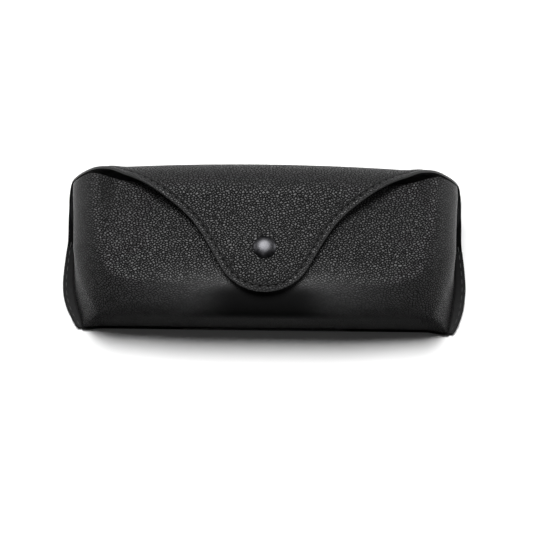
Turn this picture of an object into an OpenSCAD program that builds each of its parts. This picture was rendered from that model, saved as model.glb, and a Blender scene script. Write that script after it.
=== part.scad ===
// Soft eyeglasses case with a snap flap, lying on its back.
// +X runs along the case, +Y points at the folded top edge, +Z comes out of the flap side.
// The origin is on the back face, in the middle of the outline.

/* [Case] */
// Width of the case from bottom seam to folded top edge
case_width = 62; // [61:0.5:63]
// Half length of the back sheet at the widest part of the side seam
flange_half = 84.5; // [84.3:0.1:85.5]
// Half length of the pocket wall where it meets the back
wall_half = 81; // [80.6:0.1:81.2]
// Height of the pocket front above the back face
pocket_height = 38; // [37:0.5:39]
// Gap between the pocket front and the closed flap
flap_gap = 1.4; // [1.4:0.1:1.6]

/* [Rounding] */
// Radius of the soft fold along the top edge
roll_radius = 14; // [13.6:0.1:14.2]
// Radius between the pocket front and its bottom wall
front_radius = 13; // [12:0.5:13.5]
// Radius between the pocket front and its side walls
side_radius = 14; // [13:0.5:15]

/* [Layers] */
// Thickness of the outer leather
leather_t = 1; // [0.9:0.05:1.1]
// Thickness of the stiffening board
board_t = 0.8; // [0.6:0.05:0.9]
// Thickness of the lining cloth
lining_t = 0.6; // [0.5:0.05:0.7]

/* [Flap outline] */
// Radius of the round end of the flap
tip_radius = 20.25; // [19.5:0.25:21]
// Half width of the flap at its shoulder
shoulder_half = 59.8; // [58.5:0.1:60.5]
// Distance of the shoulder from the flap tip along the sheet
shoulder_run = 51.95; // [51:0.05:53]

/* [Snap] */
// Distance of the snap below the middle of the case
snap_drop = 4.8; // [4:0.2:6]
// Radius of the domed snap cap
cap_radius = 4.65; // [4.4:0.05:4.9]
// Height of the cap dome above the leather
cap_height = 1.5; // [1.2:0.1:1.8]

/* [Stitching] */
// Distance from the middle of one stitch to the next
stitch_pitch = 3.2; // [3:0.1:4]
// Radius of the thread
thread_radius = 0.3; // [0.25:0.05:0.35]
// Distance of the stitch line from the cut edge
stitch_inset = 2.3; // [2:0.1:2.6]

/* [Hidden] */

// Layer depths measured inwards from the outer face of the leather
depth_board = leather_t;
depth_lining = leather_t + board_t;
depth_inside = leather_t + board_t + lining_t;

// Main planes and the centres of the soft rounds
half_w = case_width / 2;
roll_y = half_w - roll_radius;
flap_z = pocket_height + flap_gap + depth_inside;
roll_top_z = flap_z - roll_radius;
wall_y = -half_w + 0.5;
lip_y = wall_y + front_radius;
lip_z = pocket_height - front_radius;
flap_lip_radius = front_radius + flap_gap + depth_inside;

// Front edge of the pocket mouth, and where the front starts to slope down to it
mouth_y = half_w - 7.7;
mouth_z = pocket_height - 1.1;
mouth_slope_y = 12;

// Lengths along the sheet, counted from the flap tip over the top fold to the back
tip_angle = 19.4;
run_lip = flap_lip_radius * tip_angle * PI / 180;
run_flat = run_lip + roll_y - lip_y;
run_roll = run_flat + roll_radius * PI / 2;
run_wall = run_roll + flap_z - 2 * roll_radius;
run_back = run_wall + roll_radius * PI / 2;
fold_front = run_flat + roll_radius * PI / 6;
fold_back = run_wall + roll_radius * PI / 4;
fold_gap = 0.15;
fold_margin = 1.5;
board_inset = 4;

// Point of the rounded sheet at run s, sunk by depth d below its outer face
function round_spot(s, d) =
  s < run_lip
  ? let (a = (run_lip - s) / flap_lip_radius * 180 / PI)
    [lip_y - (flap_lip_radius - d) * sin(a), lip_z + (flap_lip_radius - d) * cos(a)]
  : s < run_flat
  ? [lip_y + s - run_lip, flap_z - d]
  : s < run_roll
  ? let (a = (s - run_flat) / roll_radius * 180 / PI)
    [roll_y + (roll_radius - d) * sin(a), roll_top_z + (roll_radius - d) * cos(a)]
  : s < run_wall
  ? [half_w - d, roll_top_z - (s - run_roll)]
  : s < run_back
  ? let (a = (s - run_wall) / roll_radius * 180 / PI)
    [roll_y + (roll_radius - d) * cos(a), roll_radius - (roll_radius - d) * sin(a)]
  : [roll_y - (s - run_back), d];

// Runs at which the rounded parts of the sheet are sampled
lip_steps = 5;
roll_steps = 14;
run_grid = concat(
  [for (k = [0:lip_steps]) run_lip * k / lip_steps],
  [for (k = [0:roll_steps]) run_flat + (run_roll - run_flat) * k / roll_steps],
  [for (k = [0:roll_steps]) run_wall + (run_back - run_wall) * k / roll_steps]
);
sheet_grid = concat(run_grid, [run_back + roll_y + half_w]);

// Point of the closed sheet at run s and depth d, with straight facets shared by all its layers
function spot(s, d) = [
  lookup(s, [for (g = sheet_grid) [g, round_spot(g, d)[0]]]),
  lookup(s, [for (g = sheet_grid) [g, round_spot(g, d)[1]]])
];
function runs(a, b) = concat([a], [for (s = run_grid) if (s > a + 0.05 && s < b - 0.05) s], [b]);

// Flap outline in the flat sheet, as [run, half width] from the tip to the back fold
tip_sweep = 59.6;
tip_pull = 23.67;
shoulder_slope = 57.3;
shoulder_pull_in = 38.75;
shoulder_pull_out = 16.58;
sheet_run = 95.06;
sheet_half = 83.2;
sheet_pull = 15.31;
function bezier(a, b, c, d, t) =
  pow(1 - t, 3) * a + 3 * t * pow(1 - t, 2) * b + 3 * t * t * (1 - t) * c + pow(t, 3) * d;
tip_end = [tip_radius * (1 - cos(tip_sweep)), tip_radius * sin(tip_sweep)];
tip_dir = [sin(tip_sweep), cos(tip_sweep)];
shoulder = [shoulder_run, shoulder_half];
shoulder_dir = [cos(shoulder_slope), sin(shoulder_slope)];
sheet_end = [sheet_run, sheet_half];
edge = concat(
  [for (a = [0:6:tip_sweep - 3]) [tip_radius * (1 - cos(a)), tip_radius * sin(a)]],
  [for (k = [0:11]) bezier(tip_end, tip_end + tip_dir * tip_pull,
    shoulder - shoulder_dir * shoulder_pull_in, shoulder, k / 12)],
  [for (k = [0:12]) bezier(shoulder, shoulder + shoulder_dir * shoulder_pull_out,
    sheet_end - [sheet_pull, 0], sheet_end, k / 12)]
);
last = len(edge) - 1;
function unit(v) = v / norm(v);
function inner_edge(e) = [for (k = [0:last])
  let (t = k == 0 ? [0, 1] : unit(edge[min(k + 1, last)] - edge[k - 1]))
  edge[k] + e * [t[1], -t[0]]];
function half_at(path, s) = lookup(s, path);

// Extrudes a [y, z] outline along X, centred
module along_x(points, half) {
  rotate([90, 0, 90])
    translate([0, 0, -half])
      linear_extrude(height = 2 * half)
        polygon(points);
}

// Extrudes an [x, z] outline along Y
module along_y(points, y0, y1) {
  translate([0, y1, 0])
    rotate([90, 0, 0])
      linear_extrude(height = y1 - y0)
        polygon(points);
}

// Strip of the closed sheet between two runs and two depths
module strip(s0, s1, d0, d1) {
  steps = runs(s0, s1);
  count = len(steps) - 1;
  along_x(concat(
    [for (s = steps) spot(s, d0)],
    [for (k = [count:-1:0]) spot(steps[k], d1)]
  ), 90);
}

function mirrored(side) = concat(side, [for (k = [len(side) - 1:-1:0]) [-side[k][0], side[k][1]]]);

// Flap outline seen from +Z, with its edge drawn in by e
module flap_prism(e) {
  path = inner_edge(e);
  side = concat(
    [for (p = path) if (p[0] < fold_front) [p[1], spot(p[0], 0)[0]]],
    [[half_at(path, fold_front), half_w]]
  );
  linear_extrude(height = 60)
    polygon(mirrored(side));
}

// Outline of the top band seen from +Y, with its edge drawn in by e
module top_prism(e) {
  path = inner_edge(e);
  side = concat(
    [[half_at(path, fold_front), 60]],
    [for (p = path) if (p[0] > fold_front && p[0] < fold_back) [p[1], spot(p[0], 0)[1]]],
    [[half_at(path, fold_back), -5]]
  );
  along_y(mirrored(side), -5, half_w + 5);
}

// Right half of the back outline from the bottom seam to the notch above the side seam
seam_side = [
  [70, -half_w + 0.3], [flange_half - 7, -half_w], [flange_half - 3, -25], [flange_half - 0.8, -19],
  [flange_half, -13], [flange_half - 0.3, -6], [flange_half - 0.9, 1], [flange_half - 1.5, 5]
];
free_side = [[sheet_half - 0.3, 8], [sheet_half - 0.2, 14]];

// Back outline seen from +Z, with its edge drawn in by e
module back_prism(e) {
  path = inner_edge(e);
  roll_side = [for (k = [last:-1:0]) if (path[k][0] > fold_back) [path[k][1], spot(path[k][0], 0)[0]]];
  side = concat(
    [for (p = concat(seam_side, free_side)) [p[0] - e, p[1] < 0 ? p[1] + e * (p[1] < -24 ? 1 : 0) : p[1]]],
    roll_side,
    [[half_at(path, fold_back), half_w + 1]]
  );
  linear_extrude(height = 20)
    polygon(mirrored(side));
}

// Pinched bottom corners: each is cut by a plane at this distance and these angles from the origin
pinch_reach = 73.1;
pinch_rise = 23.8;
pinch_turn = 38.3;
block_size = 200;

// Pocket block with flat front, soft rounds and tapering sides, shrunk by depth d
arc_steps = 10;
module pocket_block(d, base) {
  lean = 1.2;
  side_top = wall_half - lean - side_radius;
  side_z = pocket_height - side_radius;
  intersection() {
    along_x(concat(
      [[60, base], [wall_y + d, base]],
      [for (k = [0:arc_steps]) let (a = 90 * k / arc_steps)
        [lip_y - (front_radius - d) * cos(a), lip_z + (front_radius - d) * sin(a)]],
      [[mouth_slope_y, pocket_height - d], [mouth_y, mouth_z - d], [60, mouth_z - d]]
    ), 90);
    along_y(mirrored(concat(
      [[wall_half - d, -10], [wall_half - d, leather_t]],
      [for (k = [0:arc_steps]) let (a = 90 * k / arc_steps)
        [side_top + (side_radius - d) * cos(a), side_z + (side_radius - d) * sin(a)]]
    )), -60, 60);
    translate([0, 0, -5])
      linear_extrude(height = 60)
        polygon(mirrored([
          [wall_half - 4.9 - d, -half_w - 2], [wall_half - 2 - d, -24], [wall_half - d, -13],
          [wall_half - d, 60]
        ]));
    for (m = [0, 1])
      mirror([m, 0, 0])
        rotate([0, -pinch_rise, -pinch_turn])
          translate([pinch_reach - d - block_size, -block_size / 2, -block_size / 2])
            cube(block_size);
  }
}

// Side view of what stays of the pocket, its open mouth drawn in by m
module mouth_keep(m) {
  side_edge = [[5, -10], [5, leather_t], [12, 5], [19, 10], [23.5, 18], [25.3, 26], [25.3, 31]];
  along_x(concat(
    [[-60, -10]],
    [for (p = side_edge) [p[0] - m, p[1]]],
    [[mouth_y - m, mouth_z], [mouth_y - m, 60], [-60, 60]]
  ), 95);
}

module pocket_shell(d0, d1, base, m) {
  intersection() {
    difference() {
      pocket_block(d0, base);
      pocket_block(d1, base - 4);
    }
    mouth_keep(m);
  }
}

// One straight stitch lying along direction v at point p, half sunk in the leather
stitch_length = 2.2;
module stitch(p, v) {
  u = unit(v);
  translate(p)
    rotate([0, acos(u[2]), atan2(u[1], u[0])])
      cylinder(r = thread_radius, h = stitch_length, center = true, $fn = 16);
}

// Row of stitches on both edges of the closed sheet between two runs
stitch_path = inner_edge(stitch_inset);
stitch_len = [for (k = 0, t = 0; k <= last;
  t = t + (k < last ? norm(stitch_path[k + 1] - stitch_path[k]) : 0), k = k + 1) t];
stitch_run = [for (k = [0:last]) [stitch_len[k], stitch_path[k][0]]];
stitch_half = [for (k = [0:last]) [stitch_len[k], stitch_path[k][1]]];
module edge_stitches(s0, s1) {
  for (t = [stitch_pitch / 2:stitch_pitch:stitch_len[last]]) {
    s = lookup(t, stitch_run);
    if (s > s0 && s < s1) {
      ds = lookup(t + 0.5, stitch_run) - lookup(t - 0.5, stitch_run);
      dh = lookup(t + 0.5, stitch_half) - lookup(t - 0.5, stitch_half);
      p = spot(s, 0);
      q = spot(s + 0.1, 0) - spot(s - 0.1, 0);
      for (m = [-1, 1])
        stitch([m * lookup(t, stitch_half), p[0], p[1]], [m * dh, ds * q[0] / 0.2, ds * q[1] / 0.2]);
    }
  }
}

// Rivet and snap measures, stacked from the inside of the pocket to the cap
post_radius = 1;
post_head_radius = 4;
post_head_t = 0.6;
stud_radius = 4.4;
stud_plate_t = 0.5;
stud_neck_radius = 1.35;
stud_head_radius = 1.9;
stud_head_z = pocket_height + 1.55;
stud_top_z = stud_head_z + 0.7;
cap_post_radius = 1.2;
socket_radius = 4.3;
socket_rim_radius = 4.8;
socket_low_z = pocket_height + 0.8;
socket_rim_z = pocket_height + flap_gap;
socket_top_z = flap_z - leather_t;
cavity_radius = 3.1;
cavity_top_z = socket_top_z - 0.2;
groove_radius = 3.5;
spring_inner = 1.75;
spring_low_z = socket_low_z + 0.2;
spring_t = 0.25;
module at_snap() {
  translate([0, -snap_drop, 0])
    children();
}
module snap_bore(r, z0, z1) {
  at_snap()
    translate([0, 0, z0])
      cylinder(r = r, h = z1 - z0, $fn = 48);
}

// Pocket leather: front, bottom wall, side walls, sewn side flanges and turned-in bottom edge
module front_leather() {
  color([0.09, 0.09, 0.095])
    difference() {
      union() {
        pocket_shell(0, leather_t, leather_t, 0);
        for (m = [0, 1])
          mirror([m, 0, 0])
            translate([0, 0, leather_t])
              linear_extrude(height = leather_t)
                polygon(concat(
                  [for (p = seam_side) if (p[0] > 71) p],
                  [[wall_half - 0.5, 5], [wall_half - 0.5, -13], [wall_half - 5.2, -half_w + 0.8]]
                ));
        translate([-wall_half + 6, wall_y + 0.5, leather_t])
          cube([2 * wall_half - 12, 5, leather_t]);
      }
      snap_bore(post_radius, 30, 40);
    }
}

// Stiffening board behind the pocket leather
module front_board() {
  color([0.62, 0.55, 0.44])
    difference() {
      pocket_shell(depth_board, depth_lining, 2 * leather_t, fold_margin);
      snap_bore(post_radius, 30, 40);
    }
}

// Lining of the pocket, turned over the board at the mouth
module front_lining() {
  color([0.16, 0.16, 0.17])
    difference() {
      union() {
        pocket_shell(depth_lining, depth_inside, 2 * leather_t, 0);
        difference() {
          pocket_shell(depth_board, depth_lining, 2 * leather_t, 0);
          mouth_keep(fold_margin);
        }
      }
      snap_bore(post_radius, 30, 40);
    }
}

// Back leather from the bottom seam to the fold below the top edge
module back_leather() {
  color([0.09, 0.09, 0.095])
    intersection() {
      strip(fold_back + fold_gap, run_back + roll_y + half_w, 0, leather_t);
      back_prism(0);
    }
}

// Outline of the back board, inside the pocket walls
module back_board_block() {
  intersection() {
    strip(fold_back + fold_margin, run_back + roll_y + half_w, depth_board, depth_lining);
    translate([0, 0, -1])
      linear_extrude(height = 20)
        polygon(mirrored([
          [74, wall_y + 5.8], [wall_half - 3.6, -22], [wall_half - 1.6, -13], [wall_half - 1.6, 5],
          [sheet_half - board_inset, 12], [sheet_half - board_inset, half_w]
        ]));
  }
}

module back_board() {
  color([0.62, 0.55, 0.44])
    back_board_block();
}

// Back lining inside the pocket and over the free part of the back up to the fold
module back_lining() {
  color([0.16, 0.16, 0.17])
    union() {
      intersection() {
        strip(run_back + roll_y - 7, run_back + roll_y + 24.9, depth_lining, depth_inside);
        translate([0, 0, -1])
          linear_extrude(height = 20)
            polygon(mirrored([
              [wall_half - 8, wall_y], [wall_half - 5.4, -24], [wall_half - 2.7, -12],
              [wall_half - 2.7, 8]
            ]));
      }
      difference() {
        intersection() {
          strip(fold_back + fold_gap, run_back + roll_y - 7, depth_board, depth_inside);
          back_prism(0);
        }
        back_board_block();
      }
    }
}

// Thread of one side seam: along the sewn flange, then along the free edge of the back
module seam_thread() {
  points = concat(
    [for (p = seam_side) if (p[0] > 71) [p[0] - 1.3, p[1] + (p[1] < -28 ? 1.4 : 0)]],
    [[sheet_half - stitch_inset, 8], [sheet_half - stitch_inset, roll_y]]
  );
  count = len(points) - 1;
  lengths = [for (k = 0, t = 0; k <= count;
    t = t + (k < count ? norm(points[k + 1] - points[k]) : 0), k = k + 1) t];
  xs = [for (k = [0:count]) [lengths[k], points[k][0]]];
  ys = [for (k = [0:count]) [lengths[k], points[k][1]]];
  for (t = [stitch_pitch / 2:stitch_pitch:lengths[count] - 1]) {
    y = lookup(t, ys);
    if (y < 3.6 || y > 8.6)
      stitch([lookup(t, xs), y, y < 5 ? 2 * leather_t : depth_inside],
        [lookup(t + 0.5, xs) - lookup(t - 0.5, xs), lookup(t + 0.5, ys) - lookup(t - 0.5, ys), 0]);
  }
}

module right_seam_thread() {
  color([0.04, 0.04, 0.04])
    seam_thread();
}

module left_seam_thread() {
  color([0.04, 0.04, 0.04])
    mirror([1, 0, 0])
      seam_thread();
}

// Row of stitches along the front edge of the pocket mouth
mouth_row_half = 60.8;
module mouth_thread() {
  y = mouth_y - stitch_inset;
  z = pocket_height - (pocket_height - mouth_z) * (y - mouth_slope_y) / (mouth_y - mouth_slope_y);
  color([0.04, 0.04, 0.04])
    for (x = [-mouth_row_half:stitch_pitch:mouth_row_half])
      stitch([x, y, z], [1, 0, 0]);
}

// Male half of the snap: plate, neck and head on the pocket front
module snap_stud() {
  color([0.35, 0.35, 0.37])
    at_snap()
      rotate_extrude($fn = 48)
        polygon([
          [post_radius, pocket_height], [stud_radius, pocket_height],
          [stud_radius, pocket_height + 0.3], [stud_radius - 0.3, pocket_height + stud_plate_t],
          [stud_neck_radius, pocket_height + stud_plate_t], [stud_neck_radius, stud_head_z],
          [stud_head_radius, stud_head_z], [stud_head_radius, stud_top_z - 0.3],
          [stud_head_radius - 0.4, stud_top_z], [0, stud_top_z], [0, pocket_height + 1],
          [post_radius, pocket_height + 1]
        ]);
}

// Rivet that holds the male half through the pocket front
module snap_post() {
  inside_z = pocket_height - depth_inside;
  color([0.5, 0.5, 0.52])
    at_snap() {
      translate([0, 0, inside_z - post_head_t])
        cylinder(r = post_head_radius, h = post_head_t, $fn = 48);
      translate([0, 0, inside_z])
        cylinder(r = post_radius, h = depth_inside + 1, $fn = 48);
    }
}

// Leather of the band that folds over the top edge
module top_leather() {
  color([0.09, 0.09, 0.095])
    intersection() {
      strip(fold_front + fold_gap, fold_back - fold_gap, 0, leather_t);
      top_prism(0);
    }
}

module top_board_block() {
  intersection() {
    strip(fold_front + fold_margin, fold_back - fold_margin, depth_board, depth_lining);
    top_prism(board_inset);
  }
}

module top_board() {
  color([0.62, 0.55, 0.44])
    top_board_block();
}

// Lining of the top band, glued to the leather around the board
module top_lining() {
  color([0.16, 0.16, 0.17])
    difference() {
      intersection() {
        strip(fold_front + fold_gap, fold_back - fold_gap, depth_board, depth_inside);
        top_prism(0);
      }
      top_board_block();
    }
}

module top_thread() {
  color([0.04, 0.04, 0.04])
    edge_stitches(fold_front + fold_margin, fold_back - fold_margin);
}

// Leather of the flap with its round end
module flap_leather() {
  color([0.09, 0.09, 0.095])
    difference() {
      intersection() {
        strip(0, fold_front - fold_gap, 0, leather_t);
        flap_prism(0);
      }
      snap_bore(cap_post_radius, socket_top_z - 1, flap_z + 1);
    }
}

module flap_board_block() {
  intersection() {
    strip(board_inset, fold_front - fold_margin, depth_board, depth_lining);
    flap_prism(board_inset);
  }
}

module flap_board() {
  color([0.62, 0.55, 0.44])
    difference() {
      flap_board_block();
      snap_bore(socket_radius, pocket_height, flap_z);
    }
}

// Lining of the flap, glued to the leather around the board
module flap_lining() {
  color([0.16, 0.16, 0.17])
    difference() {
      intersection() {
        strip(0, fold_front - fold_gap, depth_board, depth_inside);
        flap_prism(0);
      }
      flap_board_block();
      snap_bore(socket_radius, pocket_height, flap_z);
    }
}

module flap_thread() {
  color([0.04, 0.04, 0.04])
    edge_stitches(0, fold_front - fold_margin);
}

// Domed cap of the snap with its post through the flap leather
module snap_cap() {
  color([0.35, 0.35, 0.37])
    at_snap()
      rotate_extrude($fn = 64)
        polygon(concat(
          [[0, cavity_top_z], [cap_post_radius, cavity_top_z], [cap_post_radius, flap_z],
            [cap_radius, flap_z], [cap_radius, flap_z + 0.35]],
          [for (k = [1:8]) let (a = 90 * k / 8)
            [cap_radius * cos(a), flap_z + 0.35 + (cap_height - 0.35) * sin(a)]]
        ));
}

// Female half of the snap, set into the flap lining
module snap_socket() {
  color([0.35, 0.35, 0.37])
    at_snap()
      rotate_extrude($fn = 64)
        polygon([
          [cavity_radius, socket_low_z], [socket_rim_radius, socket_low_z],
          [socket_rim_radius, socket_rim_z], [socket_radius, socket_rim_z],
          [socket_radius, socket_top_z], [cap_post_radius, socket_top_z],
          [cap_post_radius, cavity_top_z], [cavity_radius, cavity_top_z],
          [cavity_radius, spring_low_z + spring_t], [groove_radius, spring_low_z + spring_t],
          [groove_radius, spring_low_z], [cavity_radius, spring_low_z]
        ]);
}

// Split spring ring in the socket that grips under the stud head
spring_slot = 0.8;
module snap_spring() {
  color([0.7, 0.6, 0.35])
    at_snap()
      difference() {
        rotate_extrude($fn = 48)
          polygon([
            [spring_inner, spring_low_z], [groove_radius, spring_low_z],
            [groove_radius, spring_low_z + spring_t], [spring_inner, spring_low_z + spring_t]
          ]);
        translate([0, -spring_slot / 2, spring_low_z - 1])
          cube([groove_radius + 1, spring_slot, 2]);
      }
}

front_leather();
front_board();
front_lining();
back_leather();
back_board();
back_lining();
left_seam_thread();
right_seam_thread();
mouth_thread();
snap_stud();
snap_post();
top_leather();
top_board();
top_lining();
top_thread();
flap_leather();
flap_board();
flap_lining();
flap_thread();
snap_cap();
snap_socket();
snap_spring();
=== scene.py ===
import math
import bmesh
import bpy
import numpy as np
from mathutils import Matrix, Vector


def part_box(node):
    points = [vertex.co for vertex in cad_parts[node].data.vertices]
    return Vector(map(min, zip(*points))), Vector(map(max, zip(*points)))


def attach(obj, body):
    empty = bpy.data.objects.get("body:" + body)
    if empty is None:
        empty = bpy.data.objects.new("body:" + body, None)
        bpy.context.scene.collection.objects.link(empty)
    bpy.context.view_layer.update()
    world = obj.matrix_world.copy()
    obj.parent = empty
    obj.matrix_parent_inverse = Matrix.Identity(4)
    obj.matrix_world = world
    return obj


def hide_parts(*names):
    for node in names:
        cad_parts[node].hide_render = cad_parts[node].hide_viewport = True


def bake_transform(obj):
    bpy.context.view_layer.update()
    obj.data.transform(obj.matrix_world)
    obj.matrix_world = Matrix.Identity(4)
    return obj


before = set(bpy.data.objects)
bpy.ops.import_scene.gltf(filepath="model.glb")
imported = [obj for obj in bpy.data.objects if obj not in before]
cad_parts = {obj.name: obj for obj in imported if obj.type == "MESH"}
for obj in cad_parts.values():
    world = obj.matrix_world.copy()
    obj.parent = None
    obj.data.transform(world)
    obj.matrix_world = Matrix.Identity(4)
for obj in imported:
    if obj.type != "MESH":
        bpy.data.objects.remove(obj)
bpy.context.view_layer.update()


# ---------------------------------------------------------------- outer leather
# The case is cut from pebbled faux leather 1 mm thick, black and satin, pressed with a fine
# litchi grain. The grain is flattened where the leather is stretched over the soft folds.
MM = 0.001
LEATHER_T = 1.0
PEBBLES_PER_M = 950
PEBBLE_DISORDER = 0.95
PEBBLE_SLANT = math.radians(-35)
PEBBLE_DRAW = (0.82, 1.22)
PEBBLE_DEPTH = 0.00036
WANDER_PER_M = 420
WANDER = 0.0012
PATCHES_PER_M = 70
PORES_PER_M = 3500
# the cracks between the pebbles are painted darker, as shade, between these two widths
CRACK_FOOT, CRACK_RIM = 0.05, 0.27
# below this grain value the leather's colour is painted darker, as shade
SHADE_PAINTED_BELOW = 0.3


def node_tree(name):
    material = bpy.data.materials.new(name)
    material.use_nodes = True
    tree = material.node_tree
    return material, tree, tree.nodes["Principled BSDF"]


def put(tree, kind, **settings):
    node = tree.nodes.new(kind)
    for key, value in settings.items():
        setattr(node, key, value)
    return node


def number(tree, operation, a, b):
    node = put(tree, "ShaderNodeMath", operation=operation)
    for slot, value in enumerate((a, b)):
        if isinstance(value, (int, float)):
            node.inputs[slot].default_value = value
        else:
            tree.links.new(value, node.inputs[slot])
    return node.outputs[0]


def spread(tree, value, low, high, to_low=0.0, to_high=1.0, smooth=True):
    node = put(tree, "ShaderNodeMapRange", interpolation_type="SMOOTHSTEP" if smooth else "LINEAR")
    tree.links.new(value, node.inputs["Value"])
    node.inputs["From Min"].default_value = low
    node.inputs["From Max"].default_value = high
    node.inputs["To Min"].default_value = to_low
    node.inputs["To Max"].default_value = to_high
    return node.outputs[0]


def two_tone(tree, factor, dark, light):
    node = put(tree, "ShaderNodeMix", data_type="RGBA")
    tree.links.new(factor, node.inputs["Factor"])
    node.inputs[6].default_value = (*dark, 1)
    node.inputs[7].default_value = (*light, 1)
    return node.outputs[2]


def clouds(tree, place, per_m, detail=2):
    node = put(tree, "ShaderNodeTexNoise")
    node.inputs["Scale"].default_value = per_m
    node.inputs["Detail"].default_value = detail
    tree.links.new(place, node.inputs["Vector"])
    return node.outputs


def dye(tree, shader, factor, dark, light):
    tree.links.new(two_tone(tree, factor, dark, light), shader.inputs["Base Color"])


def emboss(tree, shader, height, depth):
    bump = put(tree, "ShaderNodeBump")
    bump.inputs["Distance"].default_value = depth
    tree.links.new(height, bump.inputs["Height"])
    tree.links.new(bump.outputs[0], shader.inputs["Normal"])


def pebbled_leather(name, dark, light, grain_depth, rough):
    # "flat" is the place on the uncut hide, so the pebbles lie in the surface wherever it bends
    material, tree, shader = node_tree(name)
    place = put(tree, "ShaderNodeAttribute", attribute_name="flat").outputs["Vector"]
    # the pebbles wander a little and are drawn out slantwise
    push = put(tree, "ShaderNodeVectorMath", operation="MULTIPLY_ADD")
    tree.links.new(clouds(tree, place, WANDER_PER_M)["Color"], push.inputs[0])
    push.inputs[1].default_value = (WANDER, WANDER, 0)
    tree.links.new(place, push.inputs[2])
    drawn = put(tree, "ShaderNodeMapping")
    drawn.inputs["Rotation"].default_value = (0, 0, PEBBLE_SLANT)
    drawn.inputs["Scale"].default_value = (*PEBBLE_DRAW, 1)
    tree.links.new(push.outputs[0], drawn.inputs["Vector"])
    gaps = put(tree, "ShaderNodeTexVoronoi", feature="DISTANCE_TO_EDGE", voronoi_dimensions="2D")
    pebbles = put(tree, "ShaderNodeTexVoronoi", feature="F1", voronoi_dimensions="2D")
    for cells in (gaps, pebbles):
        cells.inputs["Scale"].default_value = PEBBLES_PER_M
        cells.inputs["Randomness"].default_value = PEBBLE_DISORDER
        tree.links.new(drawn.outputs[0], cells.inputs["Vector"])
    from_gap = gaps.outputs["Distance"]
    each = put(tree, "ShaderNodeSeparateColor")
    tree.links.new(pebbles.outputs["Color"], each.inputs["Color"])
    own_height = spread(tree, each.outputs[0], 0, 1, 0.8, 1.0, smooth=False)
    own_tone = spread(tree, each.outputs[1], 0, 1, 0.75, 1.0, smooth=False)
    # each pebble has a nearly flat top, with a steep narrow crack round it
    pillow = number(tree, "ADD", number(tree, "MULTIPLY", spread(tree, from_gap, 0.0, 0.26), 0.8),
                    number(tree, "MULTIPLY", spread(tree, from_gap, 0.0, 0.5), 0.2))
    pores = clouds(tree, place, PORES_PER_M)["Fac"]
    height = number(tree, "ADD", number(tree, "MULTIPLY", pillow, own_height),
                    number(tree, "MULTIPLY", pores, 0.05))
    # the grain attribute is 1 where the grain is whole and 0 where it is gone, and its cracks are
    # shallower and paler in between; where it is low the leather is also painted darker, as shade,
    # and duller: this is the painted shade of the stitch crease, the flanges and the front's lower middle
    grain_and_shade_level = put(tree, "ShaderNodeAttribute", attribute_name="grain_and_shade").outputs["Fac"]
    patches = spread(tree, clouds(tree, place, PATCHES_PER_M, 3)["Fac"], 0.3, 0.7, 0.8, 1.0)
    height = number(tree, "MULTIPLY", height, number(tree, "MULTIPLY", patches, grain_and_shade_level))
    emboss(tree, shader, height, grain_depth)
    # painted shade in the cracks, over the bump's own shading; it fades where the grain is flatter
    crack_shade = number(tree, "SUBTRACT", 1, spread(tree, from_gap, CRACK_FOOT, CRACK_RIM))
    cracks = number(tree, "SUBTRACT", 1, number(tree, "MULTIPLY", crack_shade, grain_and_shade_level))
    unshaded = spread(tree, grain_and_shade_level, 0.0, SHADE_PAINTED_BELOW)
    tone = number(tree, "MULTIPLY", number(tree, "MULTIPLY", cracks, own_tone), unshaded)
    dye(tree, shader, tone, dark, light)
    gloss = spread(tree, number(tree, "MULTIPLY", cracks, unshaded), 0.0, 1.0, rough + 0.5, rough)
    tree.links.new(gloss, shader.inputs["Roughness"])
    shader.inputs["Specular IOR Level"].default_value = 0.18
    return material


BLACK_LEATHER = pebbled_leather("black_pebbled_leather", (0.001, 0.001, 0.0011),
                                (0.034, 0.034, 0.0345), PEBBLE_DEPTH, 0.37)


# ---------------------------------------------------------------- the one folded sheet
# The back, the top band and the flap are one sheet of leather, lined, that wraps round the
# top edge. The soft fold has a radius of 14 mm, and the flap end is cut to a round tongue.
# The cut edge shows a dark grey core, and the side below the lining is plain dark backing.
FLAP_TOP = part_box("flap_leather")[1].z / MM
HALF_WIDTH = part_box("top_leather")[1].y / MM
ROLL_R = 14.0
ROLL_Y = HALF_WIDTH - ROLL_R
ROLL_TOP_Z = FLAP_TOP - ROLL_R
# the tongue bends down over the pocket's bottom bend
BOTTOM_R = 13.0
WALL_Y = -HALF_WIDTH + 0.5
LIP_Y = WALL_Y + BOTTOM_R
LIP_Z = 25.0
LIP_R = FLAP_TOP - LIP_Z
LIP_SWEEP = math.radians(19.4)
RUN_LIP = LIP_R * LIP_SWEEP
RUN_FLAT = RUN_LIP + ROLL_Y - LIP_Y
RUN_ROLL = RUN_FLAT + ROLL_R * math.pi / 2
RUN_WALL = RUN_ROLL + FLAP_TOP - 2 * ROLL_R
RUN_BACK = RUN_WALL + ROLL_R * math.pi / 2


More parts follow.
